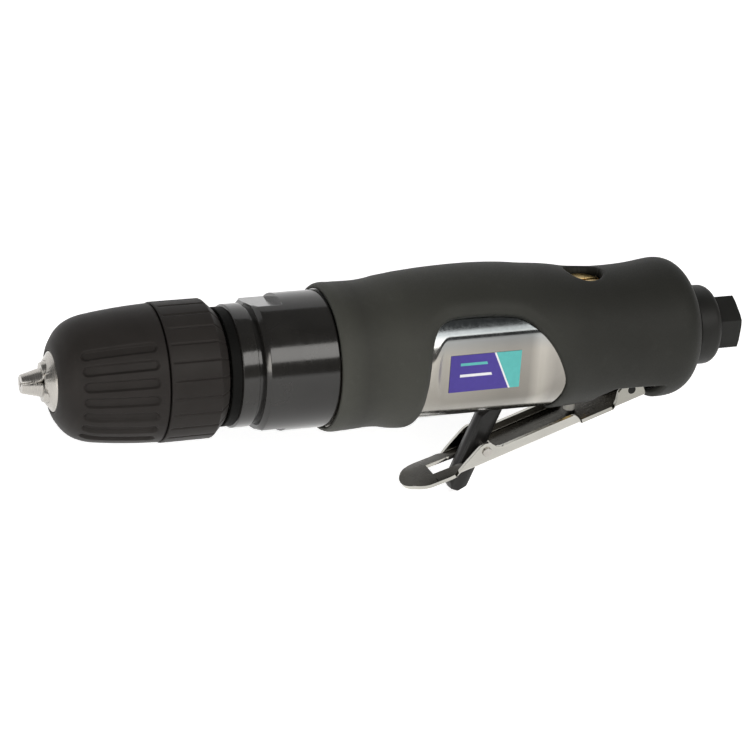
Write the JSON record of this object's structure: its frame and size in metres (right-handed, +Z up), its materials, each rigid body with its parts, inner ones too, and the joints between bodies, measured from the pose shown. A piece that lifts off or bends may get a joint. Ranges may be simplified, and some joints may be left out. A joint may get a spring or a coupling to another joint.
{
  "type": "air drill",
  "caption": "Straight pneumatic hand drill with keyless chuck, planetary gear, vane motor, rubber grip, throttle lever with safety latch and threaded air inlet",
  "frame": {"origin": "on the spindle axis at the mouth of the air inlet", "axes": "+X along the spindle axis out of the air inlet, so the chuck points to -X; +Z up, away from the throttle lever; +Y to the side away from the label"},
  "size_m": [0.2397, 0.0494, 0.0771],
  "materials": {
    "bright_steel": "ground",
    "gear_steel": "oiled",
    "black_steel": "blackened, gloss",
    "chuck_plastic": "satin",
    "polished_alloy": "polished",
    "grip_rubber": "matte",
    "label_film": "printed film",
    "brass": "turned",
    "plated_sheet": "plated",
    "latch_plastic": "satin",
    "deflector_plastic": "satin",
    "seal_rubber": "matte",
    "vane_laminate": "laminate",
    "felt": "felt"
  },
  "bodies": {
    "body": {"housing": "polished_alloy", "grip": "grip_rubber", "label": "label_film", "gear_case": "black_steel", "ring_gear": "gear_steel", "front_bearing_outer": "bright_steel", "circlip": "black_steel", "front_plate": "gear_steel", "rear_plate": "gear_steel", "cylinder_liner": "gear_steel", "dowel": "bright_steel", "rotor_bearing_1_outer": "bright_steel", "rotor_bearing_2_outer": "bright_steel", "valve_bush": "brass", "valve_plug": "brass", "valve_spring": "bright_steel", "lever_pin": "bright_steel", "inlet_bushing": "black_steel", "inlet_seal": "seal_rubber", "strainer": "brass", "exhaust_deflector": "deflector_plastic", "silencer": "felt"},
    "spindle_body": {"spindle": "bright_steel", "planet_pins": "bright_steel", "front_bearing_inner": "bright_steel", "chuck_body": "bright_steel", "chuck_collar": "chuck_plastic", "chuck_screw": "black_steel"},
    "sleeve_body": {"chuck_sleeve": "chuck_plastic", "chuck_nut": "bright_steel"},
    "jaw_1_body": {"chuck_jaw_1": "bright_steel"},
    "jaw_2_body": {"chuck_jaw_2": "bright_steel"},
    "jaw_3_body": {"chuck_jaw_3": "bright_steel"},
    "planet_1_body": {"planet_gear_1": "gear_steel"},
    "planet_2_body": {"planet_gear_2": "gear_steel"},
    "planet_3_body": {"planet_gear_3": "gear_steel"},
    "rotor_body": {"rotor": "bright_steel", "rotor_vanes": "vane_laminate", "sun_gear": "gear_steel", "rotor_bearing_1_inner": "bright_steel", "rotor_bearing_2_inner": "bright_steel"},
    "front_balls_body": {"front_bearing_balls": "bright_steel"},
    "rotor_balls_1_body": {"rotor_bearing_1_balls": "bright_steel"},
    "rotor_balls_2_body": {"rotor_bearing_2_balls": "bright_steel"},
    "lever_body": {"throttle_lever": "plated_sheet", "latch_pin": "bright_steel", "latch_spring": "bright_steel"},
    "latch_body": {"safety_latch": "latch_plastic"},
    "plunger_body": {"valve_plunger": "bright_steel", "valve_orings": "seal_rubber"}
  },
  "joints": [
    {"name": "spindle_spin", "type": "hinge", "parent": "body", "child": "spindle_body", "pos_m": [0, 0, 0], "axis": [-1, 0, 0], "continuous": true},
    {"name": "rotor_spin", "type": "hinge", "parent": "body", "child": "rotor_body", "pos_m": [0, 0, 0], "axis": [-1, 0, 0], "continuous": true},
    {"name": "planet_1_spin", "type": "hinge", "parent": "spindle_body", "child": "planet_1_body", "pos_m": [-0.1587, 0.01005, 0], "axis": [-1, 0, 0], "continuous": true},
    {"name": "planet_2_spin", "type": "hinge", "parent": "spindle_body", "child": "planet_2_body", "pos_m": [-0.1587, -0.00502, 0.0087], "axis": [-1, 0, 0], "continuous": true},
    {"name": "planet_3_spin", "type": "hinge", "parent": "spindle_body", "child": "planet_3_body", "pos_m": [-0.1587, -0.00502, -0.0087], "axis": [-1, 0, 0], "continuous": true},
    {"name": "front_balls_roll", "type": "hinge", "parent": "body", "child": "front_balls_body", "pos_m": [0, 0, 0], "axis": [-1, 0, 0], "continuous": true},
    {"name": "rotor_balls_1_roll", "type": "hinge", "parent": "body", "child": "rotor_balls_1_body", "pos_m": [0, 0, 0], "axis": [-1, 0, 0], "continuous": true},
    {"name": "rotor_balls_2_roll", "type": "hinge", "parent": "body", "child": "rotor_balls_2_body", "pos_m": [0, 0, 0], "axis": [-1, 0, 0], "continuous": true},
    {"name": "sleeve_turn", "type": "hinge", "parent": "spindle_body", "child": "sleeve_body", "pos_m": [0, 0, 0], "axis": [-1, 0, 0], "range_deg": [0, 3370]},
    {"name": "jaw_1_slide", "type": "slide", "parent": "spindle_body", "child": "jaw_1_body", "axis": [0.9659, -0.0226, 0.2578], "range_m": [0, 0.01642]},
    {"name": "jaw_2_slide", "type": "slide", "parent": "spindle_body", "child": "jaw_2_body", "axis": [0.9659, -0.212, -0.1485], "range_m": [0, 0.01642]},
    {"name": "jaw_3_slide", "type": "slide", "parent": "spindle_body", "child": "jaw_3_body", "axis": [0.9659, 0.2346, -0.1094], "range_m": [0, 0.01642]},
    {"name": "lever_squeeze", "type": "hinge", "parent": "body", "child": "lever_body", "pos_m": [-0.0377, 0, -0.0178], "axis": [0, 1, 0], "range_deg": [0, 8], "stiffness_Nm_per_rad": 9, "springref_deg": -17.19},
    {"name": "latch_fold", "type": "hinge", "parent": "lever_body", "child": "latch_body", "pos_m": [-0.08787, 0, -0.03488], "axis": [0, 1, 0], "range_deg": [0, 50]},
    {"name": "plunger_slide", "type": "slide", "parent": "body", "child": "plunger_body", "axis": [0, 0, 1], "range_m": [0, 0.0031], "deforming": ["valve_spring"]}
  ],
  "couplings": [
    {"joint": "rotor_spin", "follows": "spindle_spin", "ratio": 4},
    {"joint": "planet_1_spin", "follows": "spindle_spin", "ratio": -3},
    {"joint": "planet_2_spin", "follows": "spindle_spin", "ratio": -3},
    {"joint": "planet_3_spin", "follows": "spindle_spin", "ratio": -3},
    {"joint": "front_balls_roll", "follows": "spindle_spin", "ratio": 0.388},
    {"joint": "rotor_balls_1_roll", "follows": "spindle_spin", "ratio": 1.4176},
    {"joint": "rotor_balls_2_roll", "follows": "spindle_spin", "ratio": 1.4176},
    {"joint": "jaw_1_slide", "follows": "sleeve_turn", "m_per_rad": 0.00027852},
    {"joint": "jaw_2_slide", "follows": "sleeve_turn", "m_per_rad": 0.00027852},
    {"joint": "jaw_3_slide", "follows": "sleeve_turn", "m_per_rad": 0.00027852},
    {"joint": "latch_fold", "follows": "lever_squeeze", "ratio": 6.25},
    {"joint": "plunger_slide", "follows": "lever_squeeze", "m_per_rad": 0.0216}
  ]
}
